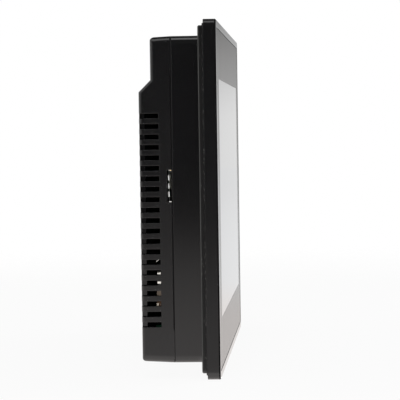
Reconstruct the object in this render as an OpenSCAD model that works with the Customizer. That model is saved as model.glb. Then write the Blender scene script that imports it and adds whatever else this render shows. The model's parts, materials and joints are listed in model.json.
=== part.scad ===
// Panel-mount HMI touch panel, seven inch class, black moulded housing.
// X points to the operator's right, Y from the front face to the back, Z up.
// The origin is the centre of the cabinet cut-out, on the face where the gasket meets the cabinet sheet.

/* [Front frame] */
// Width of the front face
face_w = 192; // [188:1:200]
// Height of the front face
face_h = 138; // [135:1:144]
// Thickness of the front frame's flange
face_t = 5; // [4.8:0.1:6]
// Corner radius of the front frame
face_r = 3; // [2.5:0.5:5]
// Chamfer round the front edge
face_chamfer = 0.4; // [0.2:0.1:0.6]
// Width of the raised lip round the overlay
lip_w = 3; // [2:0.1:4]
// Height of the lip above the overlay
lip_h = 0.1; // [0.05:0.05:0.3]
// Thickness of the plinth behind the flange
plinth_t = 0.5; // [0.3:0.1:1]
// Step from the flange's edge to the plinth's edge
plinth_inset = 1.5; // [1:0.1:2]

/* [Gasket] */
// Height of the gasket behind the plinth
gasket_proud = 1.7; // [1.2:0.1:2.5]
// Width of the gasket's ring round the housing
gasket_w = 3.6; // [3:0.1:4]
// Depth of the groove that holds the gasket
gasket_groove = 0.8; // [0.5:0.1:1.2]
// Chamfer on the gasket's outer rear edge
gasket_chamfer = 0.4; // [0.2:0.1:0.8]

/* [Window and touch panel] */
// Width of the clear window
window_w = 155; // [150:1:158]
// Height of the clear window
window_h = 93; // [90:1:96]
// Thickness of the overlay
overlay_t = 0.2; // [0.15:0.05:0.3]
// Border of the touch panel hidden under the overlay
touch_border = 5.5; // [4:0.5:7]
// Thickness of the touch film
touch_film_t = 0.2; // [0.15:0.05:0.3]
// Thickness of the touch glass
touch_glass_t = 1.1; // [0.8:0.1:1.4]
// Thickness of the frame's ledge under the touch glass
ledge_t = 1.6; // [1.2:0.1:2]
// Width of the touch panel's flex tail
touch_tail_w = 12; // [8:1:16]
// Distance of the touch tail to the left of the middle
touch_tail_left = 25; // [20:1:30]

/* [Display module] */
// Width of the display module
lcd_w = 165; // [162:1:167]
// Height of the display module
lcd_h = 104; // [101:1:106]
// Thickness of the display module
lcd_t = 5; // [4.5:0.1:6]
// Rim of the display's frame beside its view
lcd_rim_x = 3.7; // [3.2:0.1:4.2]
// Rim of the display's frame above and below its view
lcd_rim_z = 4.2; // [3.7:0.1:4.7]
// Thickness of the sheet metal round the display
lcd_sheet = 0.4; // [0.3:0.1:0.6]
// Thickness of the liquid crystal cell
cell_t = 1.4; // [1:0.1:1.6]
// Thickness of the foam between ledge and display
foam_t = 0.6; // [0.4:0.1:1]
// Width of the display's flex
lcd_tail_w = 26; // [20:1:32]
// Distance of the display's flex to the right of the middle
lcd_tail_right = 20; // [16:1:24]

/* [Housing] */
// Width of the housing behind the cabinet sheet
body_w = 180; // [178:1:182]
// Height of the housing behind the cabinet sheet
body_h = 126; // [124:1:128]
// Corner radius of the housing
body_r = 3; // [2:0.5:4]
// Wall of the rear cover
wall = 2; // [1.6:0.1:2.2]
// Wall of the front frame's skirt
skirt_wall = 2.2; // [2:0.1:2.6]
// Distance of the seam in front of the board's rear face
seam_lead = 0.5; // [0.3:0.1:0.7]
// Depth of the cover's upper part behind the seam
upper_depth = 8.2; // [7.8:0.1:9.6]
// Depth of the cover's lower part behind the seam
lower_depth = 12.8; // [12.6:0.1:14.6]
// Height where the cover's slope begins
slope_top_z = 46.1; // [44:0.1:49]
// Draft of the cover's top and bottom
cover_draft = 2.8; // [1:0.1:3.5]
// Radius of the cover's top and bottom rear edges
rear_r = 1.8; // [1:0.1:2.5]
// Radius of the cover's side rear edges
side_r = 1.5; // [0.6:0.1:1.8]
// Length of the cover's tongue inside the skirt
tongue_l = 1.5; // [1:0.1:1.8]
// Thickness of the skirt's rim outside the tongue
rim_t = 1; // [0.8:0.1:1.1]
// Width of the shadow gap along the seam
shadow_gap = 0.5; // [0.3:0.1:0.8]
// Length of the shadow gap on each side
shadow_l = 100; // [80:1:110]
// Width of the hairline along the rest of the seam
seam_line = 0.15; // [0.1:0.05:0.25]

// Width of the bare field for a rating plate on the back
field_w = 64; // [50:1:80]
// Height of the bare field
field_h = 34; // [20:1:44]

/* [Vents and clamp slots] */
// Number of vent slots on each side
vent_count = 21; // [10:1:21]
// Pitch of the vent slots
vent_pitch = 4.02; // [3:0.01:4.1]
// Height of a vent slot
vent_h = 2; // [1.4:0.1:2.2]
// Length of a vent slot along the side wall, from the rear face
vent_l = 7.65; // [5:0.05:8.5]
// Depth of a vent slot from the side face
vent_depth = 2.5; // [2.3:0.1:4]
// Height of the middle vent slot
vent_mid_z = -7.8; // [-9:0.1:-6]
// Distance of the clamp slots from the middle
clamp_x = 60; // [50:1:66]
// Distance of the clamp slots from the cabinet's face
clamp_y = 5.6; // [5:0.1:6]
// Length of a clamp slot
clamp_slot_l = 12; // [8:0.5:14]
// Width of a clamp slot
clamp_slot_w = 3.2; // [2.5:0.1:3.6]

/* [Screws and plate] */
// Diameter of a screw shank
screw_d = 2.9; // [2.4:0.1:3]
// Diameter of a screw head
head_d = 5.6; // [5:0.1:6]
// Height of a screw head
head_h = 2; // [1.6:0.1:2.4]
// Diameter of a cover post and of the boss under it
post_d = 7; // [6.6:0.1:7.4]
// Thickness of the material under a cover screw's head
post_floor = 3; // [2:0.1:4]
// Length of a cover screw in its boss
boss_thread = 7; // [6:0.5:8]
// Thickness of the shield plate
plate_t = 0.8; // [0.6:0.1:1.2]
// Distance of the plate's screws and standoffs from the middle
plate_screw_x = 70; // [64:1:72]
// Margin of the plate beside its screws
plate_margin_x = 8; // [7:0.1:9]
// Margin of the plate above and below its screws
plate_margin_z = 2.8; // [2.6:0.1:3.1]
// Diameter of the bosses under the plate
plate_boss_d = 6; // [5:0.1:6.4]
// Length of a plate screw in its boss
plate_thread = 4; // [3.5:0.1:4.5]
// Length of the board's standoffs
standoff_l = 7; // [6:0.1:8]
// Width of a standoff across its flats
standoff_flats = 5; // [4.6:0.1:5.5]
// Length of a board screw in its standoff
board_thread = 5; // [4:0.1:5.5]

/* [Main board] */
// Thickness of the main board
board_t = 1.6; // [1.2:0.1:2]
// Gap between the board's ends and the cover's wall
board_gap = 1.5; // [1.2:0.1:1.8]
// Height of the board's upper edge
board_top_z = 45; // [43:0.5:50]
// Height of the upper standoffs
standoff_top_z = 38; // [34:0.5:40]
// Height of the lower standoffs
standoff_low_z = -40; // [-42:0.5:-38]
// Side of the processor
processor_side = 17; // [14:1:20]
// Height of the processor
processor_h = 1.6; // [1.4:0.1:1.8]
// Side of the heat sink
heat_sink_side = 22; // [20:1:26]
// Height of the heat sink
heat_sink_h = 6.5; // [5:0.1:7.5]
// Thickness of the heat sink's foot and fins
sink_sheet = 1.2; // [1:0.1:1.4]
// Width of a memory chip
memory_w = 13; // [11:0.5:14]
// Length of a memory chip
memory_l = 9; // [8:0.5:10]
// Height of a memory chip
memory_h = 1.2; // [1:0.1:1.4]
// Distance between the two memory chips
memory_gap = 9; // [6:0.5:12]
// Side of the controller chips
controller_side = 10; // [8:0.5:12]
// Diameter of a large capacitor
capacitor_d = 8; // [7:0.1:9]
// Height of a large capacitor
capacitor_h = 8; // [7:0.1:9]
// Diameter of the small capacitor behind the vents
small_capacitor_d = 5; // [4.4:0.1:5.4]
// Height of the small capacitor behind the vents
small_capacitor_h = 6.7; // [6:0.1:7.4]
// Side of the inductor
inductor_side = 10; // [9:0.1:11]
// Height of the inductor
inductor_h = 4.5; // [4:0.1:5]
// Diameter of the coin cell
cell_d = 20; // [16:1:22]
// Height of the coin cell
cell_h = 3.2; // [2.5:0.1:4]
// Wall of the coin cell's holder
holder_wall = 1.9; // [1.6:0.1:2.2]
// Distance of the coin cell and the buzzer below the board's upper edge
cell_drop = 23; // [22:0.5:26]
// Diameter of the buzzer
buzzer_d = 12; // [9:0.5:14]
// Height of the buzzer
buzzer_h = 6; // [5:0.1:7]
// Side of the backlight's header
backlight_header_side = 4.6; // [4.4:0.1:5.4]
// Height of the backlight's header
backlight_header_h = 6.5; // [6:0.1:7]
// Diameter of the film capacitor behind the vents
film_d = 2.8; // [2.4:0.1:4.8]

/* [Card socket] */
// Height of the middle of the card slot
card_z = 5.35; // [2:0.05:10]
// Width of the card slot
card_slot_w = 12.7; // [12.4:0.1:13.2]
// Width of the socket's body
socket_w = 15; // [14.6:0.1:16]
// Length of the socket's body
socket_l = 15.6; // [15:0.1:17]
// Height of the space for the card
card_space = 0.75; // [0.7:0.05:0.9]
// Travel of the carriage that the card pushes
card_travel = 2.5; // [1.5:0.1:2.8]
// Length of the spring behind the carriage when it is pressed flat
spring_solid = 1.5; // [1.2:0.1:1.6]

/* [Ports and switches] */
// Place of the power header
power_x = -62; // [-64:0.5:-58]
// Pitch of the power header's pins
power_pitch = 5.08; // [5:0.01:5.2]
// Height of the power header
power_h = 8.4; // [7.8:0.1:9]
// Depth of the power header
power_depth = 12; // [11:0.1:13]
// Place of the serial header
serial_x = -30; // [-32:0.5:-29]
// Pitch of the serial header's pins
serial_pitch = 3.81; // [3.5:0.01:3.85]
// Height of the serial header
serial_h = 7.2; // [6.6:0.1:7.8]
// Depth of the serial header
serial_depth = 10; // [9:0.1:11]
// Place of the mode switch
mode_x = -6; // [-7:0.5:-5]
// Travel of a mode slider
mode_travel = 1.2; // [0.8:0.1:1.4]
// Place of the reset switch
reset_x = 4; // [3:0.5:5]
// Travel of the reset button
reset_travel = 0.4; // [0.2:0.1:0.6]
// Place of the USB device port
usb_device_x = 16; // [14:0.5:18]
// Width of the USB device port
usb_device_w = 7.8; // [7.4:0.1:8.4]
// Height of the USB device port
usb_device_h = 4; // [3.8:0.1:4.4]
// Depth of the USB device port
usb_device_depth = 9; // [8.6:0.1:10]
// Place of the USB host port
usb_host_x = 34; // [31:0.5:37]
// Width of the USB host port
usb_host_w = 13.2; // [12.8:0.1:13.8]
// Height of the USB host port
usb_host_h = 5.9; // [5.6:0.1:6.4]
// Depth of the USB host port
usb_host_depth = 14; // [13.4:0.1:15]
// Place of the network port
network_x = 58; // [53:0.5:62]
// Width of the network plug's space
plug_w = 11.8; // [11.6:0.1:12.2]
// Height of the network plug's space
plug_h = 6.8; // [6.6:0.1:6.9]
// Depth of the network plug's space
plug_depth = 11.5; // [11:0.1:12]

/* [Hidden] */
$fn = 48;
fit = 0.2;        // clearance of parts that drop into a recess
slide_fit = 0.1;  // clearance of sliding parts
over = 1;         // how far a cut runs past the face it opens
graze = 0.02;     // how far a rounding cut stands off the faces that it joins
skin = 0.25;      // thickness of connector sheet metal

// Outlines of the front, from the window outwards
touch_w = window_w + 2 * touch_border;
touch_h = window_h + 2 * touch_border;
touch_r = 1;
aperture_gap = 1;
aperture_w = window_w + 2 * aperture_gap;
aperture_h = window_h + 2 * aperture_gap;
window_r = 0.5;
pane_gap = 0.05;
overlay_gap = 0.25;
overlay_w = face_w - 2 * (lip_w + overlay_gap);
overlay_h = face_h - 2 * (lip_w + overlay_gap);
overlay_r = face_r - 1;
gasket_out_w = body_w + fit + 2 * gasket_w;
gasket_out_h = body_h + fit + 2 * gasket_w;
gasket_r = 1.5;

// Outlines of the display module
lcd_in_w = lcd_w - 2 * lcd_sheet;
lcd_in_h = lcd_h - 2 * lcd_sheet;
lcd_view_w = lcd_w - 2 * lcd_rim_x;
lcd_view_h = lcd_h - 2 * lcd_rim_z;
lcd_r = 1;
foam_inset = 0.5;

// Planes from the front face to the board, along Y
y_front = -(gasket_proud + plinth_t + face_t);
y_flange_back = -(gasket_proud + plinth_t);
y_plinth_back = -gasket_proud;
y_groove = y_plinth_back - gasket_groove;
y_overlay_back = y_front + lip_h + overlay_t;
y_film_back = y_overlay_back + touch_film_t;
y_glass_back = y_film_back + touch_glass_t;
y_ledge_back = y_glass_back + ledge_t;
y_lcd_front = y_ledge_back + foam_t;
y_cell_back = y_lcd_front + lcd_sheet + cell_t;
y_lcd_back = y_lcd_front + lcd_t;
y_plate_back = y_lcd_back + plate_t;
y_board_front = y_plate_back + standoff_l;
y_board_back = y_board_front + board_t;
y_seam = y_board_back - seam_lead;
port_lift = 0.15;
y_ports = y_board_back + port_lift;

// Flex tails and their connectors on the front of the board
tail_t = 0.2;
tail_drop = 1.6;
tail_gap = 1;
touch_tail_x = -touch_tail_left;
touch_tail_z = -(max(touch_h, lcd_h) / 2 + tail_drop);
lcd_tail_x = lcd_tail_right;
lcd_tail_z = -(lcd_h / 2 + tail_drop);
zif_depth = 5;
zif_h = 2;
zif_wall = 2;
zif_rise = 1;
zif_z = zif_rise - lcd_h / 2;
y_zif = y_board_front - zif_h / 2;

// Ports along the lower edge
port_inset = 0.7;
z_ports = port_inset - body_h / 2;
header_wall = 1;
header_floor = 3.2;
header_margin = 1.4;
pin_side = 1;
pin_set_back = 1.5;
power_poles = 3;
power_w = power_poles * power_pitch + 2 * header_margin;
serial_poles = 8;
serial_w = serial_poles * serial_pitch + 2 * header_margin;
jack_wall = 0.8;
jack_cheek = 1.75;
jack_back = 2.15;
jack_latch_w = 6.4;
contact_side = 0.4;
contact_pitch = 1.02;
contact_h = 0.7;
contacts = 8;
jack_gap = skin + slide_fit;
network_w = plug_w + 2 * (jack_cheek + jack_gap);
network_h = plug_h + contact_h + 2 * (jack_wall + jack_gap);
network_depth = plug_depth + jack_back + jack_gap;
y_plug = y_ports + jack_gap + jack_wall;
tongue_t = 1.9;
tongue_side = 0.7;
mini_tongue_t = 1.2;
mini_tongue_side = 2.3;
insert_l = 3.6;
tongue_set_back = 1;
mode_poles = 2;
mode_pitch = 2.54;
mode_margin = 0.56;
mode_w = mode_poles * mode_pitch + 2 * mode_margin;
slider_w = 1.2;
slider_h = 1.2;
slider_depth = 1.6;
slider_wall = 1;
slider_set_back = 0.2;
mode_h = slider_h + mode_travel + 2 * slider_wall + 2 * slide_fit;
mode_depth = 6;
mode_set_back = 1;
z_mode = z_ports + mode_set_back;
reset_w = 6.2;
reset_h = 4.4;
reset_depth = 4;
reset_set_back = 1.6;
z_reset = z_ports + reset_set_back;
button_w = 2.6;
button_h = 1.6;
button_l = 3.2;
button_gap = 0.4;
y_button = y_ports + (reset_h - button_h) / 2;

// The openings of the ports in the cover: place, width and height
PORTS = [
    [power_x, power_w, power_h],
    [serial_x, serial_w, serial_h],
    [mode_x, mode_w, mode_h],
    [reset_x, button_w + 2 * button_gap, (reset_h + button_h) / 2 + button_gap],
    [usb_device_x, usb_device_w, usb_device_h],
    [usb_host_x, usb_host_w, usb_host_h],
    [network_x, network_w, network_h]
];

// Rear cover and skirt
y_upper = y_seam + upper_depth;
y_lower = y_seam + lower_depth;
slope_low_z = slope_top_z - (y_lower - y_upper);
inner_w = body_w - 2 * wall;
inner_h = body_h - 2 * wall;
cavity_w = body_w - 2 * skirt_wall;
cavity_h = body_h - 2 * skirt_wall;
cavity_r = body_r - 1;
tongue_w = body_w - 2 * (rim_t + slide_fit);
tongue_h = body_h - 2 * (rim_t + slide_fit);
shadow_depth = 0.8;
seam_depth = 0.5;
field_depth = 0.3;
field_r = 2;
field_z = -10;
slope_chamfer = 0.6 * side_r;

// Screws, posts and plate
hole_d = screw_d + slide_fit;
clear_d = screw_d + 0.5;
counterbore_d = head_d + 0.6;
bore_spare = 1;
post_gap_x = 1;
post_gap_z = 0.5;
post_x = inner_w / 2 - post_d / 2 - post_gap_x;
post_z = inner_h / 2 - post_d / 2 - post_gap_z;
post_drop = 1;
y_post = y_board_front - post_drop;
y_post_seat = y_post + post_floor;
plate_boss_z = (lcd_h + cavity_h) / 4;
plate_w = 2 * (plate_screw_x + plate_margin_x);
plate_h = 2 * (plate_boss_z + plate_margin_z);
plate_r = 3;

// Main board and what stands on it: places as [x, z]
board_half_w = inner_w / 2 - board_gap;
board_low_gap = 1;
board_low_z = board_low_gap - inner_h / 2;
board_notch = post_d + 2;
sink_fins = 7;
chip_r = 0.3;
processor_at = [5, 0];
memory_at = [32, 0];
controllers_at = [[-18, -6], [12, -31]];
capacitors_at = [[-46, -31], [-36, -31]];
inductor_at = [-24, -31];
buzzer_at = [52, board_top_z - cell_drop];
cell_at = [-42, board_top_z - cell_drop];
cell_lift = 1;
cell_step = 1.2;
y_cell = y_board_back + cell_lift;
sound_hole_d = 2;
edge_gap = 0.9;
edge_part_x = edge_gap - board_half_w;
backlight_header_z = -30.5;
film_z = -36.2;
film_t = 2.4;
film_lift = 3.9;
lead_d = 0.6;
small_capacitor_z = -40.6;

// Card socket, its mouth towards the left wall
mouth_gap = 0.4;
socket_mouth_x = mouth_gap - inner_w / 2;
socket_front_x = -board_half_w;
socket_back_x = socket_front_x + socket_l;
socket_base_t = 0.25;
y_card = y_board_back + socket_base_t;
y_socket_lid = y_card + card_space;
y_socket_top = y_socket_lid + skin;
socket_half = socket_w / 2;
socket_end = 1.4;
mouth_half = card_slot_w / 2 - fit;
mouth_root = 1;
mouth_tab = 2;
mouth_tab_pitch = 3.2;
mouth_lip = 0.6;
carriage_l = 5;
carriage_w = 1.6;
carriage_arm = 1.2;
carriage_reach = 2;
carriage_fit = 0.05;
card_contact_l = 4;
card_contact_t = 0.12;
card_contact_w = 0.6;
card_contact_pitch = 1.1;
card_contact_set_back = 3;
card_contact_shift = 1;
spring_wire = 0.12;
spring_gap = 0.02;
spring_r = (card_space - spring_wire) / 2 - spring_gap;
spring_turns = 6;
spring_l = card_travel + spring_solid;
carriage_back_x = socket_back_x - socket_end - spring_l;
carriage_z = card_z + socket_half - skin - slide_fit - carriage_w / 2;

// Shared shapes

// A drawing in X and Z, extruded along Y
module along_y(y0, y1) {
    translate([0, y1, 0]) rotate([90, 0, 0]) linear_extrude(y1 - y0) children();
}

// A drawing in Y and Z, extruded along X
module along_x(x0, x1) {
    translate([x0, 0, 0]) rotate([90, 0, 90]) linear_extrude(x1 - x0) children();
}

// A drawing in X and Y, extruded along Z
module along_z(z0, z1) {
    translate([0, 0, z0]) linear_extrude(z1 - z0) children();
}

// A box between two corners
module block(low, high) {
    translate(low) cube(high - low);
}

module round_rect(w, h, r) {
    square([w - 2 * r, h], center = true);
    square([w, h - 2 * r], center = true);
    for (x = [-1, 1], y = [-1, 1])
        translate([x * (w / 2 - r), y * (h / 2 - r)]) circle(r);
}

module plate(w, h, r, y0, y1) {
    along_y(y0, y1) round_rect(w, h, r);
}

// A plate with round corners and a chamfer c round the face at y_edge
module edged_plate(w, h, r, y_edge, y_flat, c) {
    s = sign(y_flat - y_edge);
    t = abs(y_flat - y_edge);
    side = function(half) [
        [y_flat, half], [y_edge + s * c, half], [y_edge, half - c],
        [y_edge, c - half], [y_edge + s * c, -half], [y_flat, -half]
    ];
    along_x(r - w / 2, w / 2 - r) polygon(side(h / 2));
    along_z(r - h / 2, h / 2 - r) polygon([for (p = side(w / 2)) [p.y, p.x]]);
    for (x = [-1, 1], z = [-1, 1])
        translate([x * (w / 2 - r), y_flat, z * (h / 2 - r)]) rotate([s * 90, 0, 0])
            rotate_extrude() polygon([[0, 0], [r, 0], [r, t - c], [r - c, t], [0, t]]);
}

// A polygon whose outward corners are round: each point is [x, y], each radius may be 0
module soft_polygon(points, radii) {
    n = len(points);
    corner = function(i) let (
        b = points[i],
        u = unit(points[(i + n - 1) % n] - b),
        v = unit(points[(i + 1) % n] - b),
        half = acos(u * v) / 2
    ) [b + u * radii[i] / tan(half), b + v * radii[i] / tan(half), b + unit(u + v) * radii[i] / sin(half)];
    polygon([for (i = [0:n - 1]) each radii[i] > 0 ? [corner(i)[0], corner(i)[1]] : [points[i]]]);
    for (i = [0:n - 1]) if (radii[i] > 0) translate(corner(i)[2]) circle(radii[i]);
}
function unit(v) = v / norm(v);

// A cylinder along Y
module rod_y(x, z, d, y0, y1) {
    translate([x, y1, z]) rotate([90, 0, 0]) cylinder(d = d, h = y1 - y0);
}

// A thin strip that follows points in Y and Z
module strip(points, t, x, w) {
    along_x(x - w / 2, x + w / 2) {
        for (i = [0:len(points) - 2]) let (a = points[i], b = points[i + 1], d = b - a)
            translate(a) rotate(atan2(d.y, d.x)) translate([0, -t / 2]) square([norm(d), t]);
        for (i = [1:len(points) - 2]) translate(points[i]) circle(d = t);
    }
}

// A pan-head screw along Y, its head's seat at y_seat and its shank towards the front
module screw(x, z, y_seat, shank) {
    difference() {
        union() {
            rod_y(x, z, screw_d, y_seat - shank, y_seat + head_h / 2);
            rod_y(x, z, head_d, y_seat, y_seat + head_h);
        }
        for (turn = [0, 90]) translate([x, y_seat + head_h, z]) rotate([0, turn, 0])
            cube([head_d * 0.55, head_h, head_d * 0.16], center = true);
    }
}

// A box-shaped tube of sheet metal along Z, open at its lower end
module sheet_tube(x, w, y0, h, z0, depth) {
    difference() {
        block([x - w / 2, y0, z0], [x + w / 2, y0 + h, z0 + depth]);
        block([x - w / 2 + skin, y0 + skin, z0 - over], [x + w / 2 - skin, y0 + h - skin, z0 + depth - skin]);
    }
}

// Front frame, overlay, touch panel and gasket

module skirt() {
    difference() {
        plate(body_w, body_h, body_r, y_flange_back, y_seam);
        plate(cavity_w, cavity_h, cavity_r, y_flange_back - over, y_seam + over);
        plate(tongue_w + 2 * slide_fit, tongue_h + 2 * slide_fit, body_r - rim_t,
              y_seam - tongue_l - fit, y_seam + over);
        for (x = [-1, 1], z = [-1, 1]) translate([x * clamp_x, clamp_y, z * body_h / 2])
            cube([clamp_slot_l, clamp_slot_w, 4 * skirt_wall], center = true);
    }
    for (p = PORTS) block([p[0] - p[1] / 2, y_seam - fit, -body_h / 2],
                          [p[0] + p[1] / 2, y_ports - fit, rim_t - body_h / 2]);
}

module bosses() {
    for (x = [-1, 1], z = [-1, 1]) {
        rod_y(x * post_x, z * post_z, post_d, y_flange_back - plinth_t, y_post);
        rod_y(x * plate_screw_x, z * plate_boss_z, plate_boss_d, y_flange_back - plinth_t, y_lcd_back);
    }
}

module tail_slot(x, w, z, z_top, y) {
    block([x - w / 2 - fit, y, z - tail_gap], [x + w / 2 + fit, y_plinth_back + over, z_top]);
}

module front_frame() {
    color("#1b1b1d") difference() {
        union() {
            edged_plate(face_w, face_h, face_r, y_front, y_flange_back, face_chamfer);
            plate(face_w - 2 * plinth_inset, face_h - 2 * plinth_inset, overlay_r,
                  y_flange_back - plinth_t, y_plinth_back);
            skirt();
            bosses();
        }
        plate(face_w - 2 * lip_w, face_h - 2 * lip_w, overlay_r, y_front - over, y_overlay_back);
        plate(touch_w + 2 * fit, touch_h + 2 * fit, touch_r, y_front - over, y_glass_back);
        plate(aperture_w, aperture_h, touch_r, y_front - over, y_plinth_back + over);
        plate(lcd_w + 2 * fit, lcd_h + 2 * fit, lcd_r, y_ledge_back, y_plinth_back + over);
        difference() {
            plate(cavity_w, cavity_h, cavity_r, y_flange_back, y_plinth_back + over);
            bosses();
        }
        difference() {
            plate(gasket_out_w + fit, gasket_out_h + fit, gasket_r, y_groove, y_plinth_back + over);
            plate(body_w, body_h, body_r, y_front, y_lower);
        }
        tail_slot(touch_tail_x, touch_tail_w, touch_tail_z, -touch_h / 2, y_overlay_back);
        tail_slot(lcd_tail_x, lcd_tail_w, lcd_tail_z, -lcd_h / 2, y_ledge_back);
        for (x = [-1, 1], z = [-1, 1]) {
            rod_y(x * post_x, z * post_z, hole_d, y_post - boss_thread - bore_spare, y_post + over);
            rod_y(x * plate_screw_x, z * plate_boss_z, hole_d,
                  y_lcd_back - plate_thread - bore_spare / 2, y_lcd_back + over);
        }
    }
}

module front_overlay() {
    color("#2a2a2c") difference() {
        plate(overlay_w, overlay_h, overlay_r, y_overlay_back - overlay_t, y_overlay_back);
        plate(window_w, window_h, window_r, y_front - over, y_overlay_back + over);
    }
}

// The film, with a clear pane that fills the overlay's window
module touch_film() {
    color("#b9bec4") {
        plate(touch_w, touch_h, touch_r, y_overlay_back, y_film_back);
        plate(window_w - 2 * pane_gap, window_h - 2 * pane_gap, window_r,
              y_overlay_back - overlay_t, y_overlay_back);
    }
}

module touch_glass() {
    color("#9fb4b8") plate(touch_w, touch_h, touch_r, y_film_back, y_glass_back);
}

// A flex tail from [y, z] at a panel's lower edge, under it and up into its connector on the board
module flex_tail(y, z, z_low, x, w) {
    strip([[y, z], [y, z_low], [y_zif, z_low], [y_zif, zif_z + tail_t]], tail_t, x, w);
}

module touch_tail() {
    color("#b86f2a")
        flex_tail(y_film_back + tail_t, -(touch_h + tail_t) / 2, touch_tail_z, touch_tail_x, touch_tail_w);
}

module panel_gasket() {
    color("#232324") difference() {
        edged_plate(gasket_out_w, gasket_out_h, gasket_r, 0, y_groove, gasket_chamfer);
        plate(body_w + fit, body_h + fit, body_r, y_front, over);
    }
}

// Display module

module lcd_foam() {
    color("#3a3a3a") difference() {
        plate(lcd_w - 2 * foam_inset, lcd_h - 2 * foam_inset, window_r, y_ledge_back, y_lcd_front);
        plate(lcd_view_w + fit, lcd_view_h + fit, window_r, y_ledge_back - over, y_lcd_front + over);
    }
}

module lcd_frame() {
    color("#b8bcc0") difference() {
        plate(lcd_w, lcd_h, lcd_r, y_lcd_front, y_lcd_back - lcd_r);
        plate(lcd_in_w, lcd_in_h, lcd_r - lcd_sheet, y_lcd_front + lcd_sheet, y_lcd_back + over);
        plate(lcd_view_w, lcd_view_h, window_r, y_lcd_front - over, y_lcd_back);
        block([lcd_tail_x - lcd_tail_w / 2 - fit, y_cell_back, -lcd_h / 2 - over],
              [lcd_tail_x + lcd_tail_w / 2 + fit, y_lcd_back, fit - lcd_in_h / 2]);
    }
}

module lcd_cell() {
    color("#4a5056") plate(lcd_in_w - fit, lcd_in_h - fit, window_r, y_lcd_front + lcd_sheet, y_cell_back);
}

module lcd_backlight() {
    color("#e8e8e4") plate(lcd_in_w - fit, lcd_in_h - fit, window_r, y_cell_back, y_lcd_back);
}

module lcd_tail() {
    color("#b86f2a") flex_tail(y_cell_back + tail_t, -lcd_in_h / 2, lcd_tail_z, lcd_tail_x, lcd_tail_w);
}

module shield_plate() {
    color("#a9adb0") difference() {
        plate(plate_w, plate_h, plate_r, y_lcd_back, y_plate_back);
        for (x = [-1, 1], z = [-1, 1])
            rod_y(x * plate_screw_x, z * plate_boss_z, clear_d, y_lcd_back - over, y_plate_back + over);
        for (t = [[touch_tail_x, touch_tail_w, touch_tail_z], [lcd_tail_x, lcd_tail_w, lcd_tail_z]])
            block([t[0] - t[1] / 2 - tail_gap, y_lcd_back - over, -plate_h],
                  [t[0] + t[1] / 2 + tail_gap, y_plate_back + over, t[2] + tail_gap]);
    }
}

module plate_screws() {
    color("#c9ccce") for (x = [-1, 1], z = [-1, 1])
        screw(x * plate_screw_x, z * plate_boss_z, y_plate_back, plate_t + plate_thread);
}

// Main board and what stands on it

module at_standoffs() {
    for (x = [-1, 1], z = [standoff_top_z, standoff_low_z]) translate([x * plate_screw_x, 0, z]) children();
}

module board_standoffs() {
    color("#c2a65a") at_standoffs() difference() {
        translate([0, y_board_front, 0]) rotate([90, 0, 0])
            cylinder(d = standoff_flats / cos(30), h = standoff_l, $fn = 6);
        rod_y(0, 0, hole_d, y_plate_back - over, y_board_front + over);
    }
}

module main_board() {
    color("#2f6b45") difference() {
        block([-board_half_w, y_board_front, board_low_z], [board_half_w, y_board_back, board_top_z]);
        for (x = [-1, 1]) translate([x * board_half_w, y_board_back, board_low_z])
            cube([2 * board_notch, 4 * board_t, 2 * board_notch], center = true);
        at_standoffs() rod_y(0, 0, clear_d, y_board_front - over, y_board_back + over);
    }
}

module board_screws() {
    color("#c9ccce") at_standoffs() screw(0, 0, y_board_back, board_t + board_thread);
}

// A box on the board: place, sizes in X and Z, height, corner radius and lift
module on_board(at, w, l, h, r = chip_r, lift = 0) {
    translate([at.x, 0, at.y]) plate(w, l, r, y_board_back + lift, y_board_back + lift + h);
}

module processor() {
    color("#202224") on_board(processor_at, processor_side, processor_side, processor_h);
}

module heat_sink() {
    pitch = (heat_sink_side - sink_sheet) / (sink_fins - 1);
    color("#8d9094") {
        on_board(processor_at, heat_sink_side, heat_sink_side, sink_sheet, chip_r, processor_h);
        for (i = [0:sink_fins - 1])
            on_board(processor_at + [(i - (sink_fins - 1) / 2) * pitch, 0], sink_sheet, heat_sink_side,
                     heat_sink_h, chip_r, processor_h);
    }
}

module memory_chips() {
    color("#26282a") {
        for (z = [-1, 1])
            on_board(memory_at + [0, z * (memory_l + memory_gap) / 2], memory_w, memory_l, memory_h);
        for (at = controllers_at) on_board(at, controller_side, controller_side, memory_h);
    }
}

module capacitors() {
    color("#b9bcc0") {
        for (at = capacitors_at) rod_y(at.x, at.y, capacitor_d, y_board_back, y_board_back + capacitor_h);
        rod_y(edge_part_x + small_capacitor_d / 2, small_capacitor_z, small_capacitor_d,
              y_board_back, y_board_back + small_capacitor_h);
    }
}

module inductor() {
    color("#3c3e40") on_board(inductor_at, inductor_side, inductor_side, inductor_h, inductor_side / 4);
}

module buzzer() {
    y = y_board_back + buzzer_h;
    color("#1d1d1f") difference() {
        rod_y(buzzer_at.x, buzzer_at.y, buzzer_d, y_board_back, y);
        rod_y(buzzer_at.x, buzzer_at.y, sound_hole_d, y - buzzer_h / 2, y + over);
    }
}

module battery_holder() {
    inside_d = cell_d + 2 * slide_fit;
    color("#2b2b2d") difference() {
        rod_y(cell_at.x, cell_at.y, inside_d + 2 * holder_wall, y_board_back, y_cell + cell_h / 2);
        rod_y(cell_at.x, cell_at.y, inside_d, y_cell, y_cell + cell_h);
        translate([cell_at.x, y_cell + cell_h / 2, cell_at.y + cell_d / 2])
            cube([cell_d / 2, cell_h, 4 * holder_wall], center = true);
    }
}

module coin_cell() {
    color("#d0d2d4") {
        rod_y(cell_at.x, cell_at.y, cell_d, y_cell, y_cell + cell_h * 3 / 4);
        rod_y(cell_at.x, cell_at.y, cell_d - 2 * cell_step, y_cell, y_cell + cell_h);
    }
}

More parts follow.
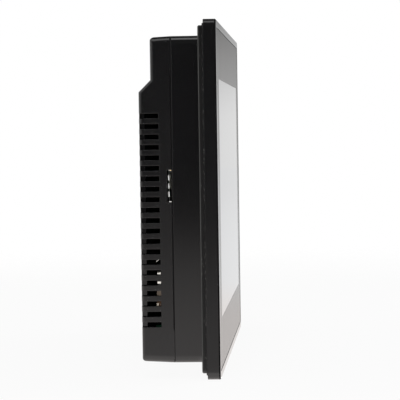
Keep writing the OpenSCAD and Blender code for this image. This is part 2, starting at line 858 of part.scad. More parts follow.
module backlight_header() {
    at = [edge_part_x + backlight_header_side / 2, backlight_header_z];
    color("#efeae0") difference() {
        on_board(at, backlight_header_side, backlight_header_side, backlight_header_h);
        on_board(at, backlight_header_side / 2, backlight_header_side * 3 / 4,
                 backlight_header_h, chip_r, backlight_header_h * 3 / 4);
    }
}

module film_capacitor() {
    y = y_board_back + film_d / 2 + film_lift;
    color("#a88465") {
        translate([edge_part_x, y, film_z]) rotate([0, 90, 0]) cylinder(d = film_d, h = film_t);
        for (z = [-1, 1]) rod_y(edge_part_x + film_t / 2, film_z + z * film_d / 4, lead_d, y_board_back, y);
    }
}

module flex_connectors() {
    color("#e3ddcf") for (c = [[touch_tail_x, touch_tail_w / 2], [lcd_tail_x, lcd_tail_w / 2]])
        difference() {
            block([c[0] - c[1] - zif_wall, y_board_front - zif_h, zif_z],
                  [c[0] + c[1] + zif_wall, y_board_front, zif_z + zif_depth]);
            block([c[0] - c[1] - fit, y_zif - tail_t, zif_z - over],
                  [c[0] + c[1] + fit, y_zif + tail_t, zif_z + zif_depth / 2]);
        }
}

// Ports along the lower edge

module at_poles(x, h, poles, pitch) {
    for (i = [0:poles - 1])
        translate([x + (i - (poles - 1) / 2) * pitch, y_ports + h / 2, z_ports]) children();
}

module header_body(x, w, h, depth, poles, pitch) {
    difference() {
        block([x - w / 2, y_ports, z_ports], [x + w / 2, y_ports + h, z_ports + depth]);
        block([x - w / 2 + header_wall, y_ports + header_wall, z_ports - over],
              [x + w / 2 - header_wall, y_ports + h - header_wall, z_ports + depth - header_floor]);
        at_poles(x, h, poles, pitch)
            cube([pin_side + slide_fit, pin_side + slide_fit, 4 * depth], center = true);
    }
}

// A bent pin: its blade stands in the header, its leg reaches the board behind it
module header_pins(x, h, depth, poles, pitch) {
    half = pin_side / 2;
    at_poles(x, h, poles, pitch) {
        block([-half, -half, pin_set_back], [half, half, depth + pin_side + half]);
        block([-half, y_board_back - y_ports - h / 2, depth + half], [half, half, depth + half + pin_side]);
    }
}

module power_header() {
    color("#2f7d4f") header_body(power_x, power_w, power_h, power_depth, power_poles, power_pitch);
}

module power_pins() {
    color("#cfcab8") header_pins(power_x, power_h, power_depth, power_poles, power_pitch);
}

module serial_header() {
    color("#2f7d4f") header_body(serial_x, serial_w, serial_h, serial_depth, serial_poles, serial_pitch);
}

module serial_pins() {
    color("#cfcab8") header_pins(serial_x, serial_h, serial_depth, serial_poles, serial_pitch);
}

module network_shield() {
    color("#c3c6c8") sheet_tube(network_x, network_w, y_ports, network_h, z_ports, network_depth);
}

module network_jack() {
    half = network_w / 2 - jack_gap;
    comb = contacts * contact_pitch / 2;
    color("#222224") difference() {
        block([network_x - half, y_ports + jack_gap, z_ports + fit],
              [network_x + half, y_ports + network_h - jack_gap, z_ports + network_depth - jack_gap]);
        block([network_x - plug_w / 2, y_plug, z_ports - over],
              [network_x + plug_w / 2, y_plug + plug_h, z_ports + plug_depth]);
        block([network_x - jack_latch_w / 2, y_ports, z_ports - over],
              [network_x + jack_latch_w / 2, y_plug + over, z_ports + plug_depth * 3 / 4]);
        block([network_x - comb, y_plug, z_ports + plug_depth / 4],
              [network_x + comb, y_plug + plug_h + contact_h, z_ports + plug_depth]);
    }
}

module network_contacts() {
    y = y_plug + plug_h + contact_h - contact_side;
    x0 = network_x - ((contacts - 1) * contact_pitch + contact_side) / 2;
    color("#d8b24a") for (i = [0:contacts - 1])
        translate([x0 + i * contact_pitch, y, z_ports + plug_depth / 3])
            cube([contact_side, contact_side, plug_depth * 2 / 3]);
}

// A port's insert: a block at the back of its shell and a tongue in front of it
module port_insert(x, w, h, depth, side, y0, t) {
    back = z_ports + depth - jack_gap;
    block([x - w / 2 + jack_gap, y_ports + jack_gap, back - insert_l],
          [x + w / 2 - jack_gap, y_ports + h - jack_gap, back]);
    block([x - w / 2 + side, y0, z_ports + tongue_set_back], [x + w / 2 - side, y0 + t, back - insert_l / 2]);
}

module usb_host_shell() {
    color("#c3c6c8") sheet_tube(usb_host_x, usb_host_w, y_ports, usb_host_h, z_ports, usb_host_depth);
}

module usb_host_insert() {
    color("#1f3f78") port_insert(usb_host_x, usb_host_w, usb_host_h, usb_host_depth, tongue_side + skin,
                                 y_ports + usb_host_h - skin - tongue_side - tongue_t, tongue_t);
}

module usb_device_shell() {
    color("#c3c6c8") sheet_tube(usb_device_x, usb_device_w, y_ports, usb_device_h, z_ports, usb_device_depth);
}

module usb_device_insert() {
    color("#222224") port_insert(usb_device_x, usb_device_w, usb_device_h, usb_device_depth,
                                 mini_tongue_side / 2 + skin,
                                 y_ports + (usb_device_h - mini_tongue_t) / 2, mini_tongue_t);
}

// Card socket on the left edge of the board

module card_socket_base() {
    half = socket_half - skin - slide_fit;
    color("#27272a") difference() {
        union() {
            block([socket_front_x, y_board_back, card_z - half],
                  [socket_back_x - skin, y_card, card_z + half]);
            block([socket_back_x - socket_end, y_board_back, card_z - half],
                  [socket_back_x - skin, y_socket_lid - carriage_fit, card_z + half]);
        }
        block([carriage_back_x - carriage_l, y_board_back - over, carriage_z - carriage_w / 2],
              [socket_back_x - socket_end, y_card + over, carriage_z + carriage_w / 2]);
    }
}

module card_socket_shell() {
    reach = socket_front_x - socket_mouth_x;
    color("#d2d0c8") {
        block([socket_front_x, y_socket_lid, card_z - socket_half],
              [socket_back_x, y_socket_top, card_z + socket_half]);
        for (z = [-1, 1]) {
            translate([socket_front_x, y_board_back, card_z + z * (socket_half - skin / 2) - skin / 2])
                cube([socket_l, y_socket_top - y_board_back, skin]);
            translate([socket_mouth_x, y_card, card_z + z * (mouth_half - skin / 2) - skin / 2])
                cube([reach + mouth_root, y_socket_top - y_card, skin]);
        }
        for (i = [-1:1])
            translate([socket_mouth_x, y_socket_lid, card_z + i * mouth_tab_pitch - mouth_tab / 2]) {
                cube([reach + mouth_root, skin, mouth_tab]);
                cube([skin, mouth_lip, mouth_tab]);
            }
    }
}

module card_contacts() {
    color("#d8b24a") for (i = [0:contacts - 1])
        translate([socket_front_x + card_contact_set_back, y_card,
                   card_z - card_contact_shift + (i - contacts / 2) * card_contact_pitch])
            cube([card_contact_l, card_contact_t, card_contact_w]);
}

module card_carriage() {
    y0 = y_card + carriage_fit;
    y1 = y_socket_lid - carriage_fit;
    color("#d9d6cc") {
        block([carriage_back_x - carriage_l, y0, carriage_z - carriage_w / 2 + slide_fit],
              [carriage_back_x, y1, carriage_z + carriage_w / 2 - slide_fit]);
        block([carriage_back_x - carriage_arm, y0, card_z - carriage_reach],
              [carriage_back_x, y1, carriage_z]);
    }
}

// A helix of round wire along X, swept as one tube
module card_spring() {
    ring_sides = 8;
    steps = 10 * spring_turns;
    x0 = carriage_back_x + spring_wire / 2 + carriage_fit / 2;
    length = spring_l - spring_wire - carriage_fit;
    y_middle = y_card + card_space / 2;
    middle = function(i) let (a = 360 * spring_turns * i / steps)
        [x0 + length * i / steps, y_middle + spring_r * cos(a), carriage_z + spring_r * sin(a)];
    ring = function(i, k) let (a = 360 * spring_turns * i / steps, b = 360 * k / ring_sides)
        middle(i) + spring_wire / 2 * [sin(b), cos(b) * cos(a), cos(b) * sin(a)];
    points = [for (i = [0:steps], k = [0:ring_sides - 1]) ring(i, k)];
    quads = [for (i = [0:steps - 1], k = [0:ring_sides - 1]) let (n = (k + 1) % ring_sides)
        [i * ring_sides + k, i * ring_sides + n, (i + 1) * ring_sides + n, (i + 1) * ring_sides + k]];
    ends = [[for (k = [ring_sides - 1:-1:0]) k], [for (k = [0:ring_sides - 1]) steps * ring_sides + k]];
    color("#c9ccce") polyhedron(points, concat(quads, ends));
}

// Mode switch and reset switch

module at_slider(i) {
    x = mode_x + (i - (mode_poles + 1) / 2) * mode_pitch;
    translate([x, y_ports + slider_wall + slide_fit, z_mode]) children();
}

module mode_switch() {
    half = slider_w / 2 + slide_fit;
    color("#9c2b25") difference() {
        block([mode_x - mode_w / 2, y_ports, z_mode],
              [mode_x + mode_w / 2, y_ports + mode_h, z_mode + mode_depth]);
        for (i = [1:mode_poles]) at_slider(i)
            block([-half, -slide_fit, -over],
                  [half, slider_h + mode_travel + slide_fit, slider_depth + slide_fit]);
    }
}

module mode_slider(i) {
    color("#f2f0ea") at_slider(i)
        block([-slider_w / 2, 0, slider_set_back], [slider_w / 2, slider_h, slider_depth]);
}

module reset_switch() {
    half = button_w / 2 + slide_fit;
    color("#303133") difference() {
        block([reset_x - reset_w / 2, y_ports, z_reset],
              [reset_x + reset_w / 2, y_ports + reset_h, z_reset + reset_depth]);
        block([reset_x - half, y_button - slide_fit, z_reset - over],
              [reset_x + half, y_button + button_h + slide_fit, z_reset + button_l / 2 + reset_travel + fit]);
    }
}

module reset_button() {
    color("#d8d4c8") block([reset_x - button_w / 2, y_button, z_reset - button_l / 2],
                           [reset_x + button_w / 2, y_button + button_h, z_reset + button_l / 2]);
}

// Rear cover

// The height of the cover's top edge at depth y, taken in by d
function cover_edge(y, d = 0) = body_h / 2 - (y - y_seam) * tan(cover_draft) - d / cos(cover_draft);

// A drawing in X and Y of the cover as far back as y_back, its rear corners round
module cover_plan(y_back) {
    half = body_w / 2;
    soft_polygon([[-half, y_seam], [half, y_seam], [half, y_back], [-half, y_back]], [0, 0, side_r, side_r]);
}

// The shallow part, over the whole height
module cover_upper() {
    intersection() {
        along_z(-body_h, body_h) cover_plan(y_upper);
        along_x(-body_w, body_w) soft_polygon([
            [y_seam, cover_edge(y_seam)], [y_upper, cover_edge(y_upper)], [y_upper, 0], [y_seam, 0]
        ], [0, rear_r, 0, 0]);
    }
}

// The deep part under the slope
module cover_lower() {
    difference() {
        intersection() {
            along_z(-body_h, body_h) cover_plan(y_lower);
            along_x(-body_w, body_w) soft_polygon([
                [y_seam, slope_low_z + lower_depth], [y_lower, slope_low_z],
                [y_lower, -cover_edge(y_lower)], [y_seam, -cover_edge(y_seam)]
            ], [0, rear_r / 2, rear_r, 0]);
        }
        for (s = [-1, 1]) translate([s * body_w / 2, y_lower, slope_low_z]) rotate([45, 0, 0])
            linear_extrude(4 * lower_depth, center = true)
                polygon([[-s * slope_chamfer, 0], [0, -slope_chamfer], [s * over, -slope_chamfer],
                         [s * over, over], [-s * slope_chamfer, over]]);
    }
}

// What rounding a side edge of the cover's top (t = 1) or bottom (t = -1) takes away, on the side of s
module corner_cut(s, t) {
    axis = body_r - graze;
    translate([s * (body_w / 2 - axis), y_seam, t * cover_edge(y_seam, axis)])
        rotate([-t * cover_draft, 0, 0]) along_y(-lower_depth, 2 * lower_depth) difference() {
            translate([s > 0 ? 0 : -2 * body_r, t > 0 ? 0 : -2 * body_r]) square(2 * body_r);
            circle(body_r);
        }
}

module cover_outside() {
    difference() {
        union() {
            cover_upper();
            cover_lower();
        }
        for (s = [-1, 1], t = [-1, 1]) corner_cut(s, t);
    }
}

// The hollow of the cover, straight through its tongue
module cover_inside() {
    low = y_seam - tongue_l - over;
    bend = wall * tan(22.5);
    along_x(-inner_w / 2, inner_w / 2) polygon([
        [low, cover_edge(y_seam, wall)], [y_seam, cover_edge(y_seam, wall)],
        [y_upper - wall, cover_edge(y_upper - wall, wall)], [y_upper - wall, slope_top_z - bend],
        [y_lower - wall, slope_low_z - bend], [y_lower - wall, -cover_edge(y_lower - wall, wall)],
        [y_seam, -cover_edge(y_seam, wall)], [low, -cover_edge(y_seam, wall)]
    ]);
}

// The posts' places: [x, z, rear face there]
function post_places() = [for (x = [-1, 1], z = [-1, 1]) [x * post_x, z * post_z, z > 0 ? y_upper : y_lower]];

module rear_cover() {
    color("#1c1c1e") difference() {
        union() {
            difference() {
                union() {
                    cover_outside();
                    plate(tongue_w, tongue_h, body_r - rim_t, y_seam - tongue_l, y_seam + wall / 2);
                }
                cover_inside();
            }
            for (p = post_places()) rod_y(p[0], p[1], post_d, y_post, p[2] - wall / 2);
        }
        for (p = post_places()) {
            rod_y(p[0], p[1], clear_d, y_post - over, y_lower + over);
            rod_y(p[0], p[1], counterbore_d, y_post_seat, y_lower + over);
        }
        difference() {
            plate(body_w + over, body_h + over, body_r, y_seam - over, y_seam + seam_line);
            plate(body_w - 2 * seam_depth, body_h - 2 * seam_depth, body_r - seam_depth,
                  y_seam - 2 * over, y_seam + over);
        }
        translate([0, 0, field_z]) plate(field_w, field_h, field_r, y_lower - field_depth, y_lower + over);
        for (s = [-1, 1]) {
            translate([s * body_w / 2, y_seam + shadow_gap / 2, 0])
                cube([2 * shadow_depth, shadow_gap, shadow_l], center = true);
            for (i = [0:vent_count - 1])
                translate([s * body_w / 2, y_lower, vent_mid_z + (i - (vent_count - 1) / 2) * vent_pitch])
                cube([2 * vent_depth, 2 * vent_l, vent_h], center = true);
        }
        block([-body_w / 2 - over, y_seam - tongue_l - over, card_z - card_slot_w / 2],
              [-inner_w / 2 + over, y_socket_lid + mouth_lip + slide_fit, card_z + card_slot_w / 2]);
        for (p = PORTS) let (half = p[1] / 2 + fit)
            block([p[0] - half, y_seam - tongue_l - over, -body_h / 2 - over],
                  [p[0] + half, y_ports + p[2] + fit, -inner_h / 2 + over]);
    }
}

module cover_screws() {
    color("#3a3b3d") for (p = post_places()) screw(p[0], p[1], y_post_seat, post_floor + boss_thread);
}

front_frame();
front_overlay();
touch_film();
touch_glass();
touch_tail();
panel_gasket();
lcd_foam();
lcd_frame();
lcd_cell();
lcd_backlight();
lcd_tail();
shield_plate();
plate_screws();
board_standoffs();
main_board();
board_screws();
processor();
heat_sink();
memory_chips();
capacitors();
inductor();
buzzer();
battery_holder();
coin_cell();
backlight_header();
film_capacitor();
flex_connectors();
power_header();
power_pins();
serial_header();
serial_pins();
network_jack();
network_shield();
network_contacts();
usb_host_shell();
usb_host_insert();
usb_device_shell();
usb_device_insert();
card_socket_base();
card_socket_shell();
card_contacts();
card_carriage();
card_spring();
mode_switch();
mode_slider(1);  // mode_slider_1
mode_slider(2);  // mode_slider_2
reset_switch();
reset_button();
rear_cover();
cover_screws();
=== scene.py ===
import json
import math

import bpy
from mathutils import Matrix, Vector


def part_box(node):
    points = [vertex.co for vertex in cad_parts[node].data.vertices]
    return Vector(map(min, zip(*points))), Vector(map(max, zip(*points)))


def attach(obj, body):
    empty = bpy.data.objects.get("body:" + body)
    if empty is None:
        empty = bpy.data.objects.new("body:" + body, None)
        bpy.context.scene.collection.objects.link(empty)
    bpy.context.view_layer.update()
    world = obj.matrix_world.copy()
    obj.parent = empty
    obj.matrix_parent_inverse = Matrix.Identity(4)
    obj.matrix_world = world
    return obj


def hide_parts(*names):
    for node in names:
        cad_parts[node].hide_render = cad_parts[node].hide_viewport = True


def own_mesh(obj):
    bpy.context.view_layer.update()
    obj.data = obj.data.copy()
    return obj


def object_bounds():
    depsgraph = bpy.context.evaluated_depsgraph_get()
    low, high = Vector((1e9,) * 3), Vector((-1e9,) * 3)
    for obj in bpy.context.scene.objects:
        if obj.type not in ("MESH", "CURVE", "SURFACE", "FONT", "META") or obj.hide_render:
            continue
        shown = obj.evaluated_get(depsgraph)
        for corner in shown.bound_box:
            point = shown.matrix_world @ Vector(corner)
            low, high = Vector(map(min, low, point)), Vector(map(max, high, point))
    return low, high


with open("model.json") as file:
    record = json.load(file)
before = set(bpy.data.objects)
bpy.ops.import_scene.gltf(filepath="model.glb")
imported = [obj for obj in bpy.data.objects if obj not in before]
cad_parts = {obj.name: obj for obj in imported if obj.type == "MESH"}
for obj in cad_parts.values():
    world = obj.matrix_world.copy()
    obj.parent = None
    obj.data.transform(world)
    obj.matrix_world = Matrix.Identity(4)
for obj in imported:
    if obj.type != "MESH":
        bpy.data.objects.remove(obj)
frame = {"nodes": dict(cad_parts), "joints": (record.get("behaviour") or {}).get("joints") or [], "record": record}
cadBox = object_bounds()
bpy.ops.object.select_all(action="DESELECT")
nodes = frame["nodes"]
mm = 0.001
print("frame loaded,", len(nodes), "nodes")


# shader maths written as Python sums
class Wire:
    def __init__(self, tree, socket):
        self.tree = tree
        self.socket = socket

    # any node: its type, its settings, then the values or wires of its sockets
    @staticmethod
    def make(tree, kind, settings=None, inputs=None, output=0):
        node = tree.nodes.new(kind)
        for key, value in (settings or {}).items():
            setattr(node, key, value)
        for key, value in (inputs or {}).items():
            if isinstance(value, Wire):
                tree.links.new(value.socket, node.inputs[key])
            else:
                node.inputs[key].default_value = value
        return Wire(tree, node.outputs[output])

    def maths(self, operation, first, second):
        return Wire.make(self.tree, "ShaderNodeMath", {"operation": operation}, {0: first, 1: second})

    def __add__(self, other):
        return self.maths("ADD", self, other)

    def __radd__(self, other):
        return self.maths("ADD", other, self)

    def __sub__(self, other):
        return self.maths("SUBTRACT", self, other)

    def __rsub__(self, other):
        return self.maths("SUBTRACT", other, self)

    def __mul__(self, other):
        return self.maths("MULTIPLY", self, other)

    def __rmul__(self, other):
        return self.maths("MULTIPLY", other, self)

    def __gt__(self, other):
        return self.maths("GREATER_THAN", self, other)

    def __lt__(self, other):
        return self.maths("LESS_THAN", self, other)

    def __abs__(self):
        return self.maths("ABSOLUTE", self, 0)

    # the larger of two masks: 1 where either is
    def either(self, other):
        return self.maths("MAXIMUM", self, other)


# one material on its way: the tree, the shader and the place on the piece
class Finish:
    def __init__(self, name):
        self.material = bpy.data.materials.new(name)
        self.material.use_nodes = True
        self.tree = self.material.node_tree
        self.shader = self.tree.nodes["Principled BSDF"]
        self.base = Wire(self.tree, self.shader.outputs[0])
        self.place = self.add("ShaderNodeTexCoord", output="Object")

    def add(self, kind, settings=None, inputs=None, output=0):
        return Wire.make(self.tree, kind, settings, inputs, output)

    # patches of about that size in metres, from 0 to 1, stretched along an axis where asked
    def patches(self, size, detail=2, stretch=None):
        where = self.place
        if stretch:
            where = self.add("ShaderNodeMapping", None, {"Vector": where, "Scale": stretch})
        inputs = {"Vector": where, "Scale": 1 / size, "Detail": detail}
        return self.add("ShaderNodeTexNoise", None, inputs, "Fac")

    def cells(self, size, output):
        inputs = {"Vector": self.place, "Scale": 1 / size}
        return self.add("ShaderNodeTexVoronoi", None, inputs, output)

    # few small specks: one cell in some holds one, with that reach from its middle
    def specks(self, size, share, reach=0.28):
        pick = self.add("ShaderNodeSeparateColor", None, {"Color": self.cells(size, "Color")}, "Red")
        return (pick < share) * (self.cells(size, "Distance") < reach)

    def axes(self):
        return [self.add("ShaderNodeSeparateXYZ", None, {"Vector": self.place}, axis) for axis in "XYZ"]

    # in a Mix node, sockets 6 and 7 take colours, 4 and 5 vectors
    def mix(self, share, low, high):
        return self.add("ShaderNodeMix", {"data_type": "RGBA"}, {0: share, 6: shade(low), 7: shade(high)}, 2)

    def blend(self, share, first, second):
        return self.add("ShaderNodeMix", {"data_type": "VECTOR"}, {0: share, 4: first, 5: second}, 1)

    # from low to high as the value goes from start to stop
    def ramp(self, value, low, high, start=0, stop=1):
        return self.add("ShaderNodeMapRange", None, {"Value": value, "From Min": start, "From Max": stop,
                                                     "To Min": low, "To Max": high})

    # the surface's normal with its edges rounded to that radius
    def rounded(self, edge, samples=6):
        return self.add("ShaderNodeBevel", {"samples": samples}, {"Radius": edge}, "Normal")

    def bump(self, height, depth, normal=None):
        inputs = {"Height": height, "Distance": depth}
        if normal:
            inputs["Normal"] = normal
        return self.add("ShaderNodeBump", None, inputs)

    # the number of the step that a value lies in, and how far along it, from 0 to 1
    def steps(self, value, pitch):
        scaled = value * (1 / pitch)
        number = self.add("ShaderNodeMath", {"operation": "FLOOR"}, {0: scaled})
        return number, scaled - number

    # one fixed draw from 0 to 1 for each cell
    def chance(self, column, row, seed):
        cell = self.add("ShaderNodeCombineXYZ", None, {"X": column, "Y": row, "Z": seed})
        return self.add("ShaderNodeTexWhiteNoise", {"noise_dimensions": "3D"}, {"Vector": cell}, "Value")

    # 1 between the two ends, 0 outside
    def between(self, value, low, high):
        return (value > low) * (value < high)

    def join(self, share, first, second):
        return self.add("ShaderNodeMixShader", None, {0: share, 1: first, 2: second})

    def show(self, shader):
        self.tree.links.new(shader.socket, self.tree.nodes["Material Output"].inputs["Surface"])

    # a dull skin over the first shader, by its share
    def over(self, share, colour, rough, index):
        inputs = {"Base Color": shade(colour), "Roughness": rough, "IOR": index}
        self.show(self.join(share, self.base, self.add("ShaderNodeBsdfPrincipled", None, inputs)))

    def set(self, **values):
        for key, value in values.items():
            socket = self.shader.inputs[key.replace("_", " ")]
            if isinstance(value, Wire):
                self.tree.links.new(value.socket, socket)
            else:
                socket.default_value = value
        return self.material


def shade(colour):
    return colour if isinstance(colour, Wire) else (*colour, 1)


def tones(colour, spread):
    return [min(1, c * (1 - spread)) for c in colour], [min(1, c * (1 + spread)) for c in colour]


# the finishes, each with what a user would change; the housing's places are lengths in the part's frame
housingLook = {
    "colour": (0.0038, 0.0037, 0.0040), "spread": 0.18, "index": 1.57, "rough": (0.08, 0.14),
    "patch": 9 * mm, "patchShare": 0.6, "grain": 0.22 * mm, "grainShare": 0.4, "depth": 0.003 * mm,
    "coverRough": 0.10, "flangeRough": 0.06, "cutRough": 0.05, "lipRough": 0.09, "fieldRough": 0.22,
    "insideRough": 0.75, "pocketRough": 0.3,
    "dust": (0.05, 0.05, 0.05), "dustShare": 0.008, "dustSize": 0.55 * mm, "dustFade": 0.6,
    "cornerDust": (0.42, 0.41, 0.40), "cornerShare": 0.6, "cornerSize": 0.5 * mm, "cornerPatch": (0.3, 1),
    "dullIndex": 1.12, "dullRough": 0.5, "cutShade": (-26 * mm, 4 * mm), "plinthDull": 0.55, "flangeDull": 0.3,
    "edge": (0.35 * mm, 0.7 * mm), "rear": 13.5 * mm, "vents": (-7.8 * mm, 41.9 * mm),
    "wall": 2.05 * mm, "slope": (40.5 * mm, 45.1 * mm), "insideFront": 0.5 * mm,
    "insideBack": (21.35 * mm, 16.75 * mm), "seam": (10.45 * mm, 11.08 * mm), "groove": 0.4 * mm,
    "pocket": (-7.08 * mm, -6.8 * mm), "lip": 2.98 * mm, "lipFace": -7.1 * mm, "frontEdge": -6.6 * mm,
    "flange": -1.6 * mm, "plinth": (-2.18 * mm, -1.62 * mm), "cut": (1.8 * mm, 21.2 * mm),
    "sill": (2.7 * mm, 8 * mm, 15 * mm), "field": (31.9 * mm, 16.9 * mm, -10 * mm, 22.8 * mm),
    "square": 0.9, "edgewise": 0.6,
}


# black moulding: satin outside, dull inside, with a dull dark skin over the vents' cut ends and sills, the front
# edge, the pocket, the plinth and the flange's sides, which is painted shade
def housingPlastic(name):
    f = Finish(name)
    look = housingLook
    patch = f.patches(look["patch"], 3)
    grain = f.patches(look["grain"], 2)
    x, y, z = f.axes()
    facing = f.add("ShaderNodeNewGeometry", output="True Normal")
    sideways = f.add("ShaderNodeSeparateXYZ", None, {"Vector": facing}, "X")
    upright = f.add("ShaderNodeSeparateXYZ", None, {"Vector": facing}, "Z")
    edgewise = abs(sideways) + abs(upright) > look["edgewise"]

    # what lies inside, in the seam's groove and in the front's pocket
    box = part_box("rear_cover")
    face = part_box("front_frame")
    back = f.ramp(z, *look["insideBack"], *look["slope"])
    inside = ((abs(x) < box[1].x - look["wall"]) * (abs(z) < box[1].z - look["wall"])
              * f.between(y, look["insideFront"], back))
    groove = ((abs(x) < box[1].x - look["groove"]) * (abs(z) < box[1].z - look["groove"])
              * f.between(y, *look["seam"]))
    pocket = ((abs(x) < face[1].x - look["lip"]) * (abs(z) < face[1].z - look["lip"])
              * f.between(y, *look["pocket"]))
    inside = inside.either(groove).either(pocket)

    # the vents' ends and sills, the flange, the plinth under the gasket, the lip and the plate's field
    cutIn, cutStart = look["cut"]
    cut = (abs(sideways) > look["square"]) * (abs(x) < box[1].x - cutIn) * (y > cutStart)
    across, down, start = look["sill"]
    sill = ((abs(upright) > look["square"]) * (abs(x) > box[1].x - across) * (abs(z) < box[1].z - down)
            * (y > start))
    flange = y < look["flange"]
    plinth = f.between(y, *look["plinth"])
    lipFace = (y < look["lipFace"]) * (1 - edgewise)
    halfWide, halfHigh, level, start = look["field"]
    field = (abs(x) < halfWide) * (abs(z - level) < halfHigh) * (y > start)

    # painted shade: a dull dark skin on the vents' cut ends, darker towards the top, and on the flange's sides,
    # the plinth, the front edge, the pocket and the sills
    dull = cut * f.ramp(z, 0, 1, *look["cutShade"])
    for share in (flange * edgewise * look["flangeDull"], plinth * look["plinthDull"],
                  edgewise * (y < look["frontEdge"]), pocket, sill):
        dull = dull.either(share)

    rough = f.ramp(patch * look["patchShare"] + grain * look["grainShare"], *look["rough"])
    rough = rough + (y > look["seam"][0]) * look["coverRough"] + flange * look["flangeRough"]
    rough = rough * (1 - cut) + cut * look["cutRough"]
    rough = rough * (1 - lipFace) + lipFace * look["lipRough"] + field * look["fieldRough"]
    rough = rough * (1 - inside) + inside * look["insideRough"] + pocket * look["pocketRough"]

    # edges are rounded more along the rear, clear of the vents
    middle, reach = look["vents"]
    atRear = (y > look["rear"]) * (abs(z - middle) > reach)
    normal = f.blend(atRear, *(f.rounded(edge) for edge in look["edge"]))

    dust = f.specks(look["dustSize"], look["dustShare"]) * look["dustFade"]
    plain = f.mix(dust, f.mix(patch, *tones(look["colour"], look["spread"])), look["dust"])
    caught = f.specks(look["cornerSize"], look["cornerShare"]) * plinth * f.ramp(patch, *look["cornerPatch"])
    # the dull skin of painted shade goes over the satin, with the corner dust on the plinth
    f.over(dull, f.mix(caught, plain, look["cornerDust"]), look["dullRough"], look["dullIndex"])
    return f.set(Base_Color=plain, Roughness=rough, IOR=look["index"],
                 Normal=f.bump(grain, look["depth"], normal))


overlayLook = {"colour": (0.047, 0.040, 0.033), "spread": 0.1, "rough": (0.222, 0.242), "patch": 14 * mm,
               "grain": 0.09 * mm, "depth": 0.004 * mm}


def overlayFilm(name):
    f = Finish(name)
    look = overlayLook
    patch = f.patches(look["patch"], 2)
    grain = f.patches(look["grain"], 2)
    return f.set(Base_Color=f.mix(patch, *tones(look["colour"], look["spread"])),
                 Roughness=f.ramp(patch, *look["rough"]), Normal=f.bump(grain, look["depth"]))


windowLook = {"colour": (0.042, 0.044, 0.047), "spread": 0.05, "rough": (0.035, 0.06), "smear": 22 * mm,
              "stretch": (1, 1, 0.5)}


# the clear window over a dark display
def windowFilm(name):
    f = Finish(name)
    look = windowLook
    smear = f.patches(look["smear"], 3, look["stretch"])
    return f.set(Base_Color=f.mix(smear, *tones(look["colour"], look["spread"])),
                 Roughness=f.ramp(smear, *look["rough"]))


glassLook = {"colour": (0.80, 0.86, 0.86), "spread": 0.02, "clear": 0.9, "rough": (0.01, 0.03),
             "smear": 30 * mm}


def clearGlass(name):
    f = Finish(name)
    look = glassLook
    smear = f.patches(look["smear"])
    return f.set(Base_Color=f.mix(smear, *tones(look["colour"], look["spread"])),
                 Transmission_Weight=look["clear"], Roughness=f.ramp(smear, *look["rough"]))


gasketLook = {"colour": (0.0024, 0.0024, 0.0025), "spread": 0.3, "gloss": 0.45, "rough": (0.42, 0.6),
              "patch": 6 * mm, "cell": 0.35 * mm, "depth": 0.03 * mm, "edge": 0.3 * mm,
              "dust": (0.14, 0.14, 0.135), "dustShare": 0.05, "dustSize": 0.8 * mm,
              "cornerShare": 0.6, "cornerSize": 0.45 * mm, "corner": (-1.9 * mm, -1.35 * mm),
              "paintedSheen": (0.040, 0.040, 0.0385), "paintedSheenEdge": 0.42 * mm, "paintedSheenPatch": (0.6, 1.1)}


# foam rubber with a painted highlight along its rear edge, and dust caught in the corner against the front frame
def gasketRubber(name):
    f = Finish(name)
    look = gasketLook
    patch = f.patches(look["patch"], 3)
    x, y, z = f.axes()
    corner = f.specks(look["cornerSize"], look["cornerShare"]) * f.between(y, *look["corner"])
    dust = f.specks(look["dustSize"], look["dustShare"]) * patch + corner * patch
    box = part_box("panel_gasket")
    wide = look["paintedSheenEdge"]
    rim = (abs(x) > box[1].x - wide).either(abs(z) > box[1].z - wide)
    # painted highlight: a lighter band around the rear edge, in patches
    paintedSheen = rim * (y > box[1].y - wide) * f.ramp(patch, *look["paintedSheenPatch"])
    plain = f.mix(paintedSheen, f.mix(patch, *tones(look["colour"], look["spread"])), look["paintedSheen"])
    normal = f.bump(f.cells(look["cell"], "Distance"), look["depth"], f.rounded(look["edge"]))
    return f.set(Base_Color=f.mix(dust, plain, look["dust"]), Specular_IOR_Level=look["gloss"],
                 Roughness=f.ramp(patch, *look["rough"]), Normal=normal)


headerLook = {"side": 0.4 * mm, "dark": (0.012, 0.012, 0.012), "rear": 17.37 * mm,
              "strips": ((-32.53 * mm, -31.70 * mm), (-28.80 * mm, -28.24 * mm))}


# the white header's side by the vents: painted shade over it, apart from two strips left white
def headerSide(f, colour):
    look = headerLook
    x, y, z = f.axes()
    lower, upper = (f.between(z, *strip) for strip in look["strips"])
    strips = (lower + upper) * (y < look["rear"])
    # painted shade on the side that faces the vents
    dark = (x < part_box("backlight_header")[0].x + look["side"]) * (1 - strips)
    return f.mix(dark, colour, look["dark"])


mouldingLook = {"patch": 4 * mm, "spread": 0.12, "grain": 0.3 * mm, "depth": 0.01 * mm, "swing": 0.07}


# plain mouldings and coats: colour, roughness, grain size and depth, and what is marked on them
def moulding(name, colour, rough, grain=mouldingLook["grain"], depth=mouldingLook["depth"], marked=None):
    f = Finish(name)
    swing = mouldingLook["swing"]
    patch = f.patches(mouldingLook["patch"], 3)
    fine = f.patches(grain, 2)
    shown = f.mix(patch, *tones(colour, mouldingLook["spread"]))
    return f.set(Base_Color=marked(f, shown) if marked else shown,
                 Roughness=f.ramp((patch + fine) * 0.5, rough - swing, rough + swing),
                 Normal=f.bump(fine, depth))


metalLook = {"line": 0.5 * mm, "smudge": 5 * mm, "spread": 0.1, "depth": 0.004 * mm, "swing": (-0.08, 0.1),
             "lineShare": 0.6}


